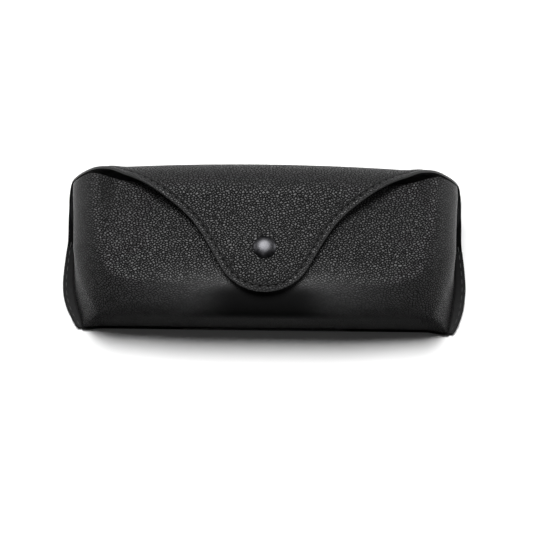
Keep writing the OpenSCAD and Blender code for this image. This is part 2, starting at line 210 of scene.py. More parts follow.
def sheet_frame(run):
    # y, z of the outer face and its outward normal, for runs counted from the flap tip
    s = np.asarray(run, float)
    lip = (RUN_LIP - s) / LIP_R
    top = (s - RUN_FLAT) / ROLL_R
    low = (s - RUN_WALL) / ROLL_R
    zone = [s < RUN_LIP, s < RUN_FLAT, s < RUN_ROLL, s < RUN_WALL, s < RUN_BACK]
    y = np.select(zone, [LIP_Y - LIP_R * np.sin(lip), LIP_Y + s - RUN_LIP, ROLL_Y + ROLL_R * np.sin(top),
                         HALF_WIDTH + 0 * s, ROLL_Y + ROLL_R * np.cos(low)], ROLL_Y - (s - RUN_BACK))
    z = np.select(zone, [LIP_Z + LIP_R * np.cos(lip), FLAP_TOP + 0 * s, ROLL_TOP_Z + ROLL_R * np.cos(top),
                         ROLL_TOP_Z - (s - RUN_ROLL), ROLL_R - ROLL_R * np.sin(low)], 0 * s)
    ny = np.select(zone, [-np.sin(lip), 0 * s, np.sin(top), 1 + 0 * s, np.cos(low)], 0 * s)
    nz = np.select(zone, [np.cos(lip), 1 + 0 * s, np.cos(top), 0 * s, -np.sin(low)], -1 + 0 * s)
    return y, z, ny, nz


def soft_step(x, low, high):
    t = np.clip((np.asarray(x, float) - low) / (high - low), 0, 1)
    return t * t * (3 - 2 * t)


def bezier(a, b, c, d, count):
    t = np.linspace(0, 1, count)[:, None]
    a, b, c, d = (np.array(p, float) for p in (a, b, c, d))
    return (1 - t) ** 3 * a + 3 * t * (1 - t) ** 2 * b + 3 * t * t * (1 - t) * c + t ** 3 * d


def flowing(points, per_span=12):
    # smooth line through the points (Catmull-Rom)
    p = np.array(points, float)
    p = np.vstack([2 * p[0] - p[1], p, 2 * p[-1] - p[-2]])
    out = []
    for k in range(1, len(p) - 2):
        t = np.linspace(0, 1, per_span, endpoint=False)[:, None]
        out.append(0.5 * (2 * p[k] + (p[k + 1] - p[k - 1]) * t
                          + (2 * p[k - 1] - 5 * p[k] + 4 * p[k + 1] - p[k + 2]) * t ** 2
                          + (3 * p[k] - p[k - 1] - 3 * p[k + 1] + p[k + 2]) * t ** 3))
    return np.vstack(out + [p[-2:-1]])


def evenly(line, step):
    line = np.asarray(line, float)
    run = np.concatenate([[0], np.cumsum(np.linalg.norm(np.diff(line, axis=0), axis=1))])
    at = np.linspace(0, run[-1], max(2, int(round(run[-1] / step)) + 1))
    return np.column_stack([np.interp(at, run, line[:, c]) for c in range(line.shape[1])])


# cut edge of the sheet as (run, half width), from the tip to the bottom seam
EDGE_STEP = 1.1
TIP_R, TIP_SWEEP = 20.25, math.radians(59.6)
tip_arc = [[TIP_R * (1 - math.cos(a)), TIP_R * math.sin(a)] for a in np.linspace(0, TIP_SWEEP, 40)]
tip_way = np.array([math.sin(TIP_SWEEP), math.cos(TIP_SWEEP)])
shoulder = np.array([51.95, 59.81])
shoulder_way = np.array([math.cos(1.0), math.sin(1.0)])
free_end = np.array([95.06, 82.9])
free_way = np.array([1, 0])
tongue_side = bezier(tip_arc[-1], tip_arc[-1] + tip_way * 23.67,
                     shoulder - shoulder_way * 38.75, shoulder, 80)
shoulder_side = bezier(shoulder, shoulder + shoulder_way * 20.5,
                       free_end - free_way * 18.5, free_end, 80)
# the sewn edge down the back as (half width, y)
seam_y = [[83.0, 14], [82.9, 8], [83.1, 4], [83.7, -1], [84.25, -7],
          [84.5, -13], [83.8, -19], [81.6, -25], [77.6, -30.9]]
sewn_side = flowing([free_end] + [[RUN_BACK + ROLL_Y - y, half] for half, y in seam_y])
cut_edge = evenly(np.vstack([tip_arc, tongue_side[1:], shoulder_side[1:], sewn_side[1:]]), EDGE_STEP)


def inward(edge):
    # towards the sheet's middle, square to its edge, and straight across near the bottom seam
    way = np.gradient(edge, axis=0)
    way[0] = (0, 1)
    way /= np.linalg.norm(way, axis=1)[:, None]
    side = np.column_stack([way[:, 1], -way[:, 0]])
    side[edge[:, 0] > RUN_BACK + 20] = (0, -1)
    return side


LEFT_CORNER_OUT, RIGHT_CORNER_OUT = 0.6, 1.3
RIGHT_FLANGE_OUT = 1.4


def settle(points):
    # the sewn bottom corners stand out a little, the right one more than the left
    p = np.array(points, float)
    x, y, z = p[..., 0], p[..., 1], p[..., 2]
    low = soft_step(-y, 24, 31) * (1 - soft_step(z, 2, 14))
    p[..., 1] = y - (RIGHT_CORNER_OUT * soft_step(x, 66, 76)
                     + LEFT_CORNER_OUT * soft_step(-x, 66, 76)) * low
    p[..., 0] = x + RIGHT_FLANGE_OUT * soft_step(x, 55, 78) * soft_step(-y, 16, 30)
    return p


MIDDLE_SWELL, MIDDLE_HALF = 1.65, 57
SHOULDER_SWELL, SHOULDER_HALF = 0.55, 64
END_PULL, END_FROM, END_LENGTH = 1.8, 62, 18


def sheet_points(run, x, depth):
    y, z, ny, nz = sheet_frame(run)
    y, z = y - ny * depth, z - nz * depth
    # the fold is fullest in the middle, fuller again past the shoulders, and drawn in at its ends
    half = np.abs(x)
    swell = MIDDLE_SWELL * (1 - np.clip(half / MIDDLE_HALF, 0, 1) ** 2)
    swell = swell + SHOULDER_SWELL * soft_step(half, MIDDLE_HALF, SHOULDER_HALF)
    swell = swell - END_PULL * np.clip((half - END_FROM) / END_LENGTH, 0, 1) ** 1.5
    on_fold = soft_step(run, RUN_FLAT - 4, RUN_FLAT + 12) * (1 - soft_step(run, RUN_WALL, RUN_BACK))
    return settle(np.column_stack([x, y + swell * on_fold, z]))


EDGE_STEPS = np.array([0, 0.08, 0.2, 0.4, 0.8, 1.5, 1.85, 2.05, 2.3, 2.55, 2.75, 3.1, 3.6, 4.4, 5.4, 6.6])


def leather_face(d):
    # how far the leather's face sits below the sheet's own face, by distance from the cut edge:
    # a rounded edge, a crease where the stitches pull it down, then a slight fullness
    return np.interp(d, [0, 0.08, 0.2, 0.4, 0.8, 1.85, 2.05, 2.3, 2.55, 2.75, 3.6, 5.4],
                     [0.2, 0.09, 0.02, 0.0, 0.0, 0.05, 0.45, 0.62, 0.45, 0.05, -0.04, -0.12])


def glue_line(d):
    return np.interp(d, [0, 1, 3, 5], [0.98, 0.98, 1.0, 1.0])


def lining_face(d):
    return np.interp(d, [0, 0.3, 1.0, 3, 5.4], [1.5, 1.62, 1.7, 1.85, 2.4])


def sheet_rows(edge, columns):
    # grid over the sheet: each row runs from the left cut edge to the right one
    side = inward(edge)
    inner = edge + side * EDGE_STEPS[-1]
    inner[0, 1] = 0
    u = np.linspace(-1, 1, columns)
    runs, xs = [], []
    for k in range(len(edge)):
        band = edge[k] + EDGE_STEPS[:-1, None] * side[k]
        runs.append(np.concatenate([band[:, 0], np.full(columns, inner[k, 0]), band[::-1, 0]]))
        xs.append(np.concatenate([-band[:, 1], inner[k, 1] * u, band[::-1, 1]]))
    far = np.concatenate([EDGE_STEPS[:-1], np.full(columns, EDGE_STEPS[-1]), EDGE_STEPS[-2::-1]])
    return np.array(runs), np.array(xs), np.tile(far, (len(edge), 1))


def add_flat(mesh, places, domain):
    # the place on the uncut hide, one for each point or one for each corner of each face
    places = np.column_stack([np.asarray(places, np.float32) * MM, np.zeros(len(places), np.float32)])
    flat = mesh.attributes.new("flat", "FLOAT_VECTOR", domain)
    flat.data.foreach_set("vector", places.astype(np.float32).ravel())


def mesh_piece(name, points, faces, materials, grain_and_shade=None, face_material=None, flat=None):
    mesh = bpy.data.meshes.new(name)
    mesh.from_pydata([tuple(p) for p in np.asarray(points) * MM], [], faces)
    for material in materials:
        mesh.materials.append(material)
    if face_material is not None:
        mesh.polygons.foreach_set("material_index", face_material)
    grain_and_shade = np.asarray(np.ones(len(points)) if grain_and_shade is None else grain_and_shade, np.float32)
    mesh.attributes.new("grain_and_shade", "FLOAT", "POINT").data.foreach_set("value", grain_and_shade)
    if flat is not None:
        add_flat(mesh, flat, "POINT")
    mesh.update()
    piece = bpy.data.objects.new(name, mesh)
    bpy.context.scene.collection.objects.link(piece)
    return piece


def tidy_mesh(piece, gap=1e-6):
    work = bmesh.new()
    work.from_mesh(piece.data)
    bmesh.ops.remove_doubles(work, verts=work.verts, dist=gap)
    bmesh.ops.dissolve_degenerate(work, edges=work.edges, dist=gap / 4)
    bmesh.ops.recalc_face_normals(work, faces=work.faces)
    work.to_mesh(piece.data)
    work.free()
    for face in piece.data.polygons:
        face.use_smooth = True
    piece.data.set_sharp_from_angle(angle=math.radians(58))
    piece.data.update()


def grid_faces(rows, columns, first=0, flip=False):
    k = np.arange(rows - 1)[:, None] * columns + np.arange(columns - 1)[None, :] + first
    quads = np.stack([k, k + 1, k + columns + 1, k + columns], axis=-1).reshape(-1, 4)
    return (quads[:, ::-1] if flip else quads).tolist()


def ring_faces(a, b):
    # faces between two equal closed loops of point numbers
    count = len(a)
    return [[a[k], a[(k + 1) % count], b[(k + 1) % count], b[k]] for k in range(count)]


def closed_sheet(name, top, bottom, materials, grain_and_shade=None, flat=None, pointed=False,
                 edge_slot=0, under_slot=0):
    # a sheet with a top and a bottom grid of the same size, closed all round; a pointed one
    # starts at its tip
    rows, columns = top.shape[:2]
    count = rows * columns
    points = np.vstack([top.reshape(-1, 3), bottom.reshape(-1, 3)])
    upper = grid_faces(rows, columns)
    lower = grid_faces(rows, columns, count, flip=True)
    first_row = list(range(1 if pointed else columns))
    right_side = [columns - 1 + row * columns for row in range(1, rows)]
    last_row = [(rows - 1) * columns + column for column in range(columns - 2, -1, -1)]
    left_side = [row * columns for row in range(rows - 2, 0, -1)]
    rim = first_row + right_side + last_row + left_side
    sides = ring_faces([k + count for k in rim], rim)
    slots = [0] * len(upper) + [under_slot] * len(lower) + [edge_slot] * len(sides)
    both_grain_and_shade = None if grain_and_shade is None else np.concatenate([grain_and_shade.ravel()] * 2)
    both_flat = None if flat is None else np.vstack([flat.reshape(-1, 2)] * 2)
    piece = mesh_piece(name, points, upper + lower + sides, materials, both_grain_and_shade, slots, both_flat)
    tidy_mesh(piece)
    return piece


def sheet_grain_and_shade(run, distance):
    # flatter where the sheet is stretched round the fold, and pressed flat at the stitch line;
    # there the leather is also painted darker, as shade in the stitch crease
    stretched = 1 - 0.2 * soft_step(run, RUN_FLAT - 2, RUN_FLAT + 10)
    return stretched * np.interp(distance, [0, 0.5, 1.0, 1.85, 2.05, 2.55, 2.75, 3.2],
                                 [0.4, 0.6, 0.8, 0.7, 0.0, 0.0, 0.7, 1.0])


def fibres(name, per_m, dark, light, rough):
    material, tree, shader = node_tree(name)
    place = put(tree, "ShaderNodeTexCoord").outputs["Object"]
    strands = clouds(tree, place, per_m)["Fac"]
    dye(tree, shader, strands, dark, light)
    shader.inputs["Roughness"].default_value = rough
    return material, tree, shader, strands


CUT_EDGE, cut_tree, cut_shader, cut_strands = fibres(
    "cut_leather_edge", 2500, (0.015, 0.015, 0.015), (0.05, 0.05, 0.05), 0.6)
emboss(cut_tree, cut_shader, cut_strands, 0.00008)
FLESH_SIDE, _, flesh_shader, _ = fibres(
    "leather_flesh_side", 1800, (0.001, 0.001, 0.001), (0.004, 0.004, 0.004), 0.95)
flesh_shader.inputs["Specular IOR Level"].default_value = 0.05

# the two leather pieces meet half way down the back wall of the fold
SPLIT_RUN = (RUN_ROLL + RUN_WALL) / 2
SHEET_COLUMNS = 75
split_row = int(np.argmin(np.abs(cut_edge[:, 0] - SPLIT_RUN)))
runs, xs, distance = sheet_rows(cut_edge, SHEET_COLUMNS)


def grid_points(runs, xs, depth):
    return sheet_points(runs.ravel(), xs.ravel(), depth.ravel()).reshape(*runs.shape, 3)


outer = grid_points(runs, xs, leather_face(distance))
glued = grid_points(runs, xs, glue_line(distance))
grain_and_shade = sheet_grain_and_shade(runs, distance)
flat = np.stack([xs, runs], axis=-1)
lid_part, back_part = slice(None, split_row + 1), slice(split_row, None)
sheet_materials = [BLACK_LEATHER, CUT_EDGE, FLESH_SIDE]
flap_sheet = closed_sheet("flap_and_top_leather", outer[lid_part], glued[lid_part], sheet_materials,
                          grain_and_shade[lid_part], flat[lid_part], pointed=True, edge_slot=1, under_slot=2)
back_sheet = closed_sheet("back_leather_sheet", outer[back_part], glued[back_part], sheet_materials,
                          grain_and_shade[back_part], flat[back_part], edge_slot=1, under_slot=2)
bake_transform(flap_sheet)
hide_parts("flap_leather", "top_leather")
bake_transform(back_sheet)
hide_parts("back_leather")


# ---------------------------------------------------------------- lining of the sheet
# A thin black cloth with a short nap is glued to the inside of the sheet over stiff board.
# Beside the stitch line there is no board, so the lining steps down to the leather there.
NAP_PER_M = 2200
BRUSH_PER_M = 90


def napped_cloth(name, dark, light):
    material, tree, shader = node_tree(name)
    place = put(tree, "ShaderNodeTexCoord").outputs["Object"]
    nap = clouds(tree, place, NAP_PER_M, 4)["Fac"]
    brushed = clouds(tree, place, BRUSH_PER_M, 2)["Fac"]
    mixed = number(tree, "ADD", number(tree, "MULTIPLY", nap, 0.6),
                   number(tree, "MULTIPLY", brushed, 0.4))
    dye(tree, shader, spread(tree, mixed, 0.3, 0.7), dark, light)
    emboss(tree, shader, nap, 0.0001)
    shader.inputs["Roughness"].default_value = 0.92
    shader.inputs["Specular IOR Level"].default_value = 0.1
    shader.inputs["Sheen Weight"].default_value = 0.03
    shader.inputs["Sheen Roughness"].default_value = 0.5
    return material


LINING = napped_cloth("black_lining", (0.003, 0.003, 0.0035), (0.008, 0.008, 0.0085))
# inside the pocket the lining narrows, to stay between the side walls
POCKET_RUN = RUN_BACK + ROLL_Y
BETWEEN_RUN = [-9, 5, 13, 26, 32]
BETWEEN_HALF = [78.2, 78.2, 78.0, 74.6, 73]
LINING_END = POCKET_RUN + 28.3
LINING_SET_IN = 0.55
lining_edge = cut_edge.copy()
run, half = lining_edge[:, 0], lining_edge[:, 1]
between_walls = np.interp(run - POCKET_RUN, BETWEEN_RUN, BETWEEN_HALF)
lining_edge[:, 1] = half + (between_walls - half) * soft_step(run, POCKET_RUN - 18, POCKET_RUN - 6)
lining_edge = lining_edge[lining_edge[:, 0] < LINING_END]
set_in = LINING_SET_IN * (1 - soft_step(lining_edge[:, :1], RUN_BACK, RUN_BACK + 8))
lining_edge = lining_edge + inward(lining_edge) * set_in
lining_edge[0, 1] = 0
runs, xs, distance = sheet_rows(lining_edge, SHEET_COLUMNS)
glued = grid_points(runs, xs, glue_line(distance) + 0.02)
inner = grid_points(runs, xs, lining_face(distance))
flap_lining = closed_sheet("flap_and_top_lining", glued[lid_part], inner[lid_part], [LINING], pointed=True)
back_lining = closed_sheet("back_lining_sheet", glued[back_part], inner[back_part], [LINING])
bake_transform(flap_lining)
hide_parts("flap_lining", "top_lining", "flap_board", "top_board")
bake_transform(back_lining)
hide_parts("back_lining", "back_board")


# ---------------------------------------------------------------- pocket
# One shaped panel makes the pocket's front, its bottom wall and both side walls. It is sewn
# to the back along narrow side flanges; the bottom corners are pinched into small ears.
FRONT_Z = 38.0
FOOT_Z = 1.0
SIDE_R = 14.0
SIDE_BEND_Z = FRONT_Z - SIDE_R
BOTTOM_BEND_Z = FRONT_Z - BOTTOM_R
SIDE_LEAN = 1.2
SIDE_STEPS, BOTTOM_STEPS = 64, 100
# the front's upper rim as (y, z), and the side walls' half distance at each y
mouth_line = np.array([[3, 1], [11, 5], [18.4, 10], [22.6, 18],
                       [24.6, 26], [24.6, 31], [23.6, 36], [23.3, 39]])
WALL_Y_AT = [-31, -27, -22, -17, -12, 2, 12, 20, 30]
WALL_HALF = [75.6, 76.6, 78.2, 79.3, 79.8, 79.8, 80.1, 80.6, 80.6]
# where the pinched corner lies at each height: the front runs down to the ear there
CORNER_Z = [1, 8, 15, 24, 28, 31.5, 33.5, 38]
CORNER_X = [75.6, 73.3, 71.0, 67.2, 64.8, 63.0, 62.5, 63.0]
CORNER_Y = [-30.9, -30.9, -30.7, -29.8, -28.4, -26.6, -25.0, -17.8]
PINCH_Y = -2
BOTTOM_SWELL = 0.5
DRAWN_FROM = 0.35
ROUND_COLUMNS = 18


def pocket_ring(z, side_in, bottom_in, round_off):
    # one level of the pocket's wall, from the mouth's right end by the bottom to its left end
    low_y = WALL_Y + bottom_in
    corner_x = float(np.interp(z, CORNER_Z, CORNER_X))
    corner_y = max(float(np.interp(z, CORNER_Z, CORNER_Y)), low_y)
    v = np.linspace(0, 1, SIDE_STEPS)
    y = np.interp(z, mouth_line[:, 1], mouth_line[:, 0])
    y = y + (corner_y - y) * v
    x = np.interp(y, WALL_Y_AT, WALL_HALF) - side_in
    pinch = np.clip((PINCH_Y - y) / (PINCH_Y - corner_y), 0, 1) ** 1.35
    x = x - max(0, x[-1] - corner_x) * pinch
    right = np.column_stack([x, y, np.full(len(y), z)])
    u = np.linspace(1, -1, BOTTOM_STEPS)[1:-1]
    swell = BOTTOM_SWELL * math.sin(math.pi * min(1, z / FRONT_Z)) * (1 - u ** 2)
    drawn_in = (corner_y - low_y) * np.clip((np.abs(u) - DRAWN_FROM) / (1 - DRAWN_FROM), 0, 1) ** 2
    bottom = np.column_stack([x[-1] * u, low_y + drawn_in - swell, np.full(len(u), z)])
    ring = np.vstack([right, bottom, right[::-1] * (-1, 1, 1)])
    near = np.zeros(len(ring))
    for corner in (SIDE_STEPS - 1, len(ring) - SIDE_STEPS):
        near = np.maximum(near, np.clip(1 - np.abs(np.arange(len(ring)) - corner) / ROUND_COLUMNS, 0, 1))
    for _ in range(round_off):
        soft = ring.copy()
        soft[1:-1] = 0.5 * ring[1:-1] + 0.25 * (ring[:-2] + ring[2:])
        ring = ring + (soft - ring) * near[:, None]
    return ring


MOUTH_SINK, SHOULDER_SINK = 1.1, 4.2
MOUTH_X = [0, 48, 58, 66, 71, 75, 78, 80]
MOUTH_REACH = [0, 0, 1.0, 2.8, 3.5, 1.8, 0.3, 0]


def shape_pocket(p):
    # the front sinks towards the mouth under the flap's shoulders, and reaches on at its ends
    half, y, z = np.abs(p[..., 0]), p[..., 1], p[..., 2]
    high = np.clip(z / FRONT_Z, 0, 1) ** 4
    sink = MOUTH_SINK * np.clip((y - 12) / 11.3, 0, 1.2)
    sink = sink + (SHOULDER_SINK * soft_step(half, 14, 44) * soft_step(y, -10, 24)
                   * (1 - soft_step(half, 60, 73)))
    reach = np.interp(half, MOUTH_X, MOUTH_REACH) * soft_step(y, 10, 23) * np.clip((z - 20) / 8, 0, 1)
    out = p.copy()
    out[..., 1] = y + reach
    out[..., 2] = z - sink * high
    return settle(out)


rings = []
for z in np.concatenate([[FOOT_Z, 1.5, 2.2], np.linspace(3.2, SIDE_BEND_Z, 18)]):
    share = (z - FOOT_Z) / (SIDE_BEND_Z - FOOT_Z)
    rings.append(pocket_ring(z, SIDE_LEAN * share, 0, int(1 + 5 * share)))
for angle in np.linspace(0, math.pi / 2, 18)[1:]:
    z = SIDE_BEND_Z + SIDE_R * math.sin(angle)
    low = 1 - math.sqrt(max(0, 1 - max(0, (z - BOTTOM_BEND_Z) / BOTTOM_R) ** 2))
    side_in = SIDE_LEAN + SIDE_R * (1 - math.cos(angle))
    rings.append(pocket_ring(z, side_in, BOTTOM_R * low, int(6 + 60 * angle)))
base = rings[0]
# the flange lies on the back, as (share of its width, height), from its edge to the wall's foot
FLANGE_LEVELS = ((1.0, 1.05), (1.0, 1.6), (0.94, 1.9), (0.8, 2.0),
                 (0.55, 2.0), (0.35, 1.85), (0.2, 2.0), (0.08, 1.75))
FLANGE_LEAST = 0.3
EAR_COLUMNS = 6
flange_edge = evenly(flowing([[half, y] for half, y in [[83.0, 5.5]] + seam_y[2:]]), 0.5)
ear = SIDE_STEPS - 1
flange_rings = []
for share, z in FLANGE_LEVELS:
    ring = base.copy()
    edge_x = np.interp(ring[:ear + 1, 1], flange_edge[::-1, 1], flange_edge[::-1, 0])
    ring[:ear + 1, 0] += np.maximum(edge_x - ring[:ear + 1, 0], FLANGE_LEAST) * share
    ring[-ear - 1:, 0] = -ring[:ear + 1, 0][::-1]
    ring[ear - EAR_COLUMNS:len(ring) - ear + EAR_COLUMNS, 1] -= FLANGE_LEAST * share
    ring[:, 2] = z
    flange_rings.append(ring)
shell = shape_pocket(np.array(flange_rings + rings))
# the front fills the top ring, stretched between its four sides
top_ring = rings[-1]
left, right = top_ring[:ear + 1], top_ring[-ear - 1:][::-1]
bottom = top_ring[ear:len(top_ring) - ear]
u = np.linspace(0, 1, len(bottom))[None, :, None]
v = np.linspace(0, 1, ear + 1)[:, None, None]
mouth = left[0] + (right[0] - left[0]) * u[0]
patch = ((1 - v) * mouth[None] + v * bottom[None] + (1 - u) * left[:, None] + u * right[:, None]
         - (1 - u) * (1 - v) * left[0] - u * (1 - v) * right[0]
         - (1 - u) * v * left[-1] - u * v * right[-1])
patch = shape_pocket(patch)


def unrolled(shell, outward):
    # each point's place on the hide: out from the front's rim by its length down the wall
    steps = np.diff(shell, axis=0)
    drop = np.hypot(steps[..., 0] if outward == 0 else steps[..., 1], steps[..., 2])
    down = np.vstack([np.cumsum(drop[::-1], axis=0)[::-1], np.zeros((1, shell.shape[1]))])
    place = shell[..., :2].copy()
    way = np.sign(shell[-1, :, 0]) if outward == 0 else -1
    place[..., outward] = shell[-1, :, outward] + way * down
    return place


def pocket_mesh(name, shell, patch, material, shell_shade_and_grain, patch_shade_and_grain):
    rows, columns = shell.shape[:2]
    points = np.vstack([shell.reshape(-1, 3), patch.reshape(-1, 3)])
    walls = grid_faces(rows, columns)
    front = grid_faces(patch.shape[0], patch.shape[1], rows * columns)
    grain_and_shade = np.concatenate([shell_shade_and_grain.ravel(), patch_shade_and_grain.ravel()])
    piece = mesh_piece(name, points, walls + front, [material], grain_and_shade)
    # the hide is cut and sewn at the two bottom corners, so each wall has its own run of grain
    on_side, on_bottom = unrolled(shell, 0).reshape(-1, 2), unrolled(shell, 1).reshape(-1, 2)
    column = np.arange(len(walls)) % (columns - 1)
    below = (column >= ear) & (column < columns - 1 - ear)
    walls, front = np.array(walls), np.array(front)
    flat = np.where(below[:, None, None], on_bottom[walls], on_side[walls]).reshape(-1, 2)
    add_flat(piece.data, np.vstack([flat, points[front.ravel(), :2]]), "CORNER")
    tidy_mesh(piece, 2e-6)
    return piece


# the grain is stretched round the side walls' bend and down the bottom wall. In the flanges
# and in the middle of the front's lower bend it is nearly gone and the leather is painted darker.
# The dark middle patch is painted shade, from the tongue above it and the bend turned from the
# light; the dark flanges are painted shade beside the walls, on flatter grain. This dark patch
# and the dark flanges are a guess, as on a real case it may be only shade there.
FLANGE_GRAIN_AND_SHADE = 0.16
BOTTOM_STRETCH = 0.7
PAINTED_MIDDLE_SHADE = 0.97


# the mask of the painted shade under the tongue, low on the front and fading out to the sides
def painted_middle_shade(p):
    return soft_step(-p[..., 1], 6, 24) * (1 - soft_step(np.abs(p[..., 0]), 10, 66))


half, y, z = np.abs(shell[..., 0]), shell[..., 1], shell[..., 2]
columns = shell.shape[1]
column = np.arange(columns)
bottom_wall = soft_step(column, ear - 2, ear + 8)
bottom_wall = bottom_wall * (1 - soft_step(column, columns - ear - 9, columns - ear + 1))
shell_grain_and_shade = 1 - soft_step(half, 66, 77) * (0.2 + 0.35 * soft_step(y, -30, 8))
shell_grain_and_shade = shell_grain_and_shade * (1 - BOTTOM_STRETCH * bottom_wall * (1 - soft_step(z, SIDE_BEND_Z, 35)))
# the flanges' low grain value also paints them darker, as shade beside the pocket's walls
shell_grain_and_shade[:len(flange_rings)] *= FLANGE_GRAIN_AND_SHADE
shell_grain_and_shade = shell_grain_and_shade * (1 - PAINTED_MIDDLE_SHADE * painted_middle_shade(shell) * bottom_wall * soft_step(z, 22, 30))
patch_grain_and_shade = 1 - PAINTED_MIDDLE_SHADE * painted_middle_shade(patch)
pocket_front = pocket_mesh("pocket_leather", shell, patch, BLACK_LEATHER, shell_grain_and_shade, patch_grain_and_shade)


def finish_mesh(piece):
    bpy.context.view_layer.update()
    solid = piece.evaluated_get(bpy.context.evaluated_depsgraph_get())
    done = bpy.data.meshes.new_from_object(solid)
    piece.modifiers.clear()
    piece.data = done


def thicken(piece, thickness):
    wall = piece.modifiers.new("thickness", "SOLIDIFY")
    wall.thickness = thickness * MM
    wall.offset = -1
    wall.use_even_offset = False
    finish_mesh(piece)


def face_out(piece):
    # the panel is open, so its faces are turned by hand to look away from the pocket's middle
    mesh = piece.data
    middle = Vector((0, -0.005, 0.015))
    score = sum((f.center - middle).dot(f.normal) * f.area for f in mesh.polygons)
    if score < 0:
        mesh.flip_normals()
    mesh.update()


face_out(pocket_front)
thicken(pocket_front, LEATHER_T)
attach(pocket_front, "pocket")
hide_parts("front_leather")


# ---------------------------------------------------------------- pocket lining
# The same black cloth lines the pocket over its board, from the back up to the mouth. It is
# glued to the leather, and drawn here as one layer with the board.
GLUE_GAP = 0.03
LINING_AND_BOARD_T = 1.35
lining_shell = shape_pocket(np.array(rings[3:]))
pocket_lining = pocket_mesh("pocket_lining", lining_shell, patch, LINING,
                            np.ones(lining_shell.shape[:2]), np.ones(patch.shape[:2]))
face_out(pocket_lining)
normals = np.zeros(len(pocket_lining.data.vertices) * 3)
pocket_lining.data.vertices.foreach_get("normal", normals)
places = np.zeros_like(normals)
pocket_lining.data.vertices.foreach_get("co", places)
places = places - normals * (LEATHER_T + GLUE_GAP) * MM
pocket_lining.data.vertices.foreach_set("co", places)
pocket_lining.data.update()
thicken(pocket_lining, LINING_AND_BOARD_T)
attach(pocket_lining, "pocket")
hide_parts("front_lining", "front_board")


# ---------------------------------------------------------------- stitching
# Black polyester thread, about 0.45 mm thick, in a lockstitch 3.2 mm long. It runs 2.3 mm
# inside the cut edge of the whole sheet, along the side flanges and along the pocket's mouth.
STITCH_PITCH, STITCH_LENGTH, THREAD_R = 3.2, 2.7, 0.24
STITCH_IN, STITCH_SUNK = 2.3, 0.5
THREAD, thread_tree, thread_shader = node_tree("black_thread")
twist = put(thread_tree, "ShaderNodeTexWave", wave_type="BANDS", bands_direction="DIAGONAL")
twist.inputs["Scale"].default_value = 900
thread_tree.links.new(put(thread_tree, "ShaderNodeTexCoord").outputs["Object"], twist.inputs["Vector"])
dye(thread_tree, thread_shader, twist.outputs["Fac"], (0.006, 0.006, 0.006), (0.02, 0.02, 0.02))
emboss(thread_tree, thread_shader, twist.outputs["Fac"], 0.00005)
thread_shader.inputs["Roughness"].default_value = 0.55


def stitching_tree():
    tree = bpy.data.node_groups.new("lockstitch_row", "GeometryNodeTree")
    sockets = {}
    tree.interface.new_socket("Seam line", in_out="INPUT", socket_type="NodeSocketGeometry")
    for label, kind in (("Stitch pitch", "NodeSocketFloat"), ("Stitch size", "NodeSocketVector"),
                        ("Thread", "NodeSocketMaterial")):
        sockets[label] = tree.interface.new_socket(label, in_out="INPUT", socket_type=kind).identifier
    tree.interface.new_socket("Stitches", in_out="OUTPUT", socket_type="NodeSocketGeometry")
    source, result = tree.nodes.new("NodeGroupInput"), tree.nodes.new("NodeGroupOutput")
    line = tree.nodes.new("GeometryNodeMeshToCurve")
    evened = tree.nodes.new("GeometryNodeResampleCurve")
    evened.mode = "LENGTH"
    along = tree.nodes.new("GeometryNodeInputTangent")
    turn = tree.nodes.new("FunctionNodeAlignRotationToVector")
    turn.axis = "X"
    bead = tree.nodes.new("GeometryNodeMeshUVSphere")
    bead.inputs["Segments"].default_value = 8
    bead.inputs["Rings"].default_value = 6
    bead.inputs["Radius"].default_value = 1
    rows = tree.nodes.new("GeometryNodeInstanceOnPoints")
    real = tree.nodes.new("GeometryNodeRealizeInstances")
    smooth = tree.nodes.new("GeometryNodeSetShadeSmooth")
    paint = tree.nodes.new("GeometryNodeSetMaterial")
    link = tree.links.new
    link(source.outputs["Seam line"], line.inputs["Mesh"])
    link(line.outputs["Curve"], evened.inputs["Curve"])
    link(source.outputs["Stitch pitch"], evened.inputs["Length"])
    link(evened.outputs["Curve"], rows.inputs["Points"])
    link(along.outputs["Tangent"], turn.inputs["Vector"])
    link(turn.outputs["Rotation"], rows.inputs["Rotation"])
    link(bead.outputs["Mesh"], rows.inputs["Instance"])
    link(source.outputs["Stitch size"], rows.inputs["Scale"])
    link(rows.outputs["Instances"], smooth.inputs["Geometry"])
    link(smooth.outputs["Geometry"], real.inputs["Geometry"])
    link(real.outputs["Geometry"], paint.inputs["Geometry"])
    link(source.outputs["Thread"], paint.inputs["Material"])
    link(paint.outputs["Geometry"], result.inputs["Stitches"])
    return tree, sockets


STITCHING, STITCH_SOCKETS = stitching_tree()


def sew(name, line):
    mesh = bpy.data.meshes.new(name)
    joins = [(k, k + 1) for k in range(len(line) - 1)]
    mesh.from_pydata([tuple(p) for p in np.asarray(line) * MM], joins, [])
    row = bpy.data.objects.new(name, mesh)
    bpy.context.scene.collection.objects.link(row)
    sewing = row.modifiers.new("sewing", "NODES")
    sewing.node_group = STITCHING
    sewing[STITCH_SOCKETS["Stitch pitch"]] = STITCH_PITCH * MM
    sewing[STITCH_SOCKETS["Stitch size"]] = (STITCH_LENGTH / 2 * MM, THREAD_R * MM, THREAD_R * MM)
    sewing[STITCH_SOCKETS["Thread"]] = THREAD
    finish_mesh(row)
    return row


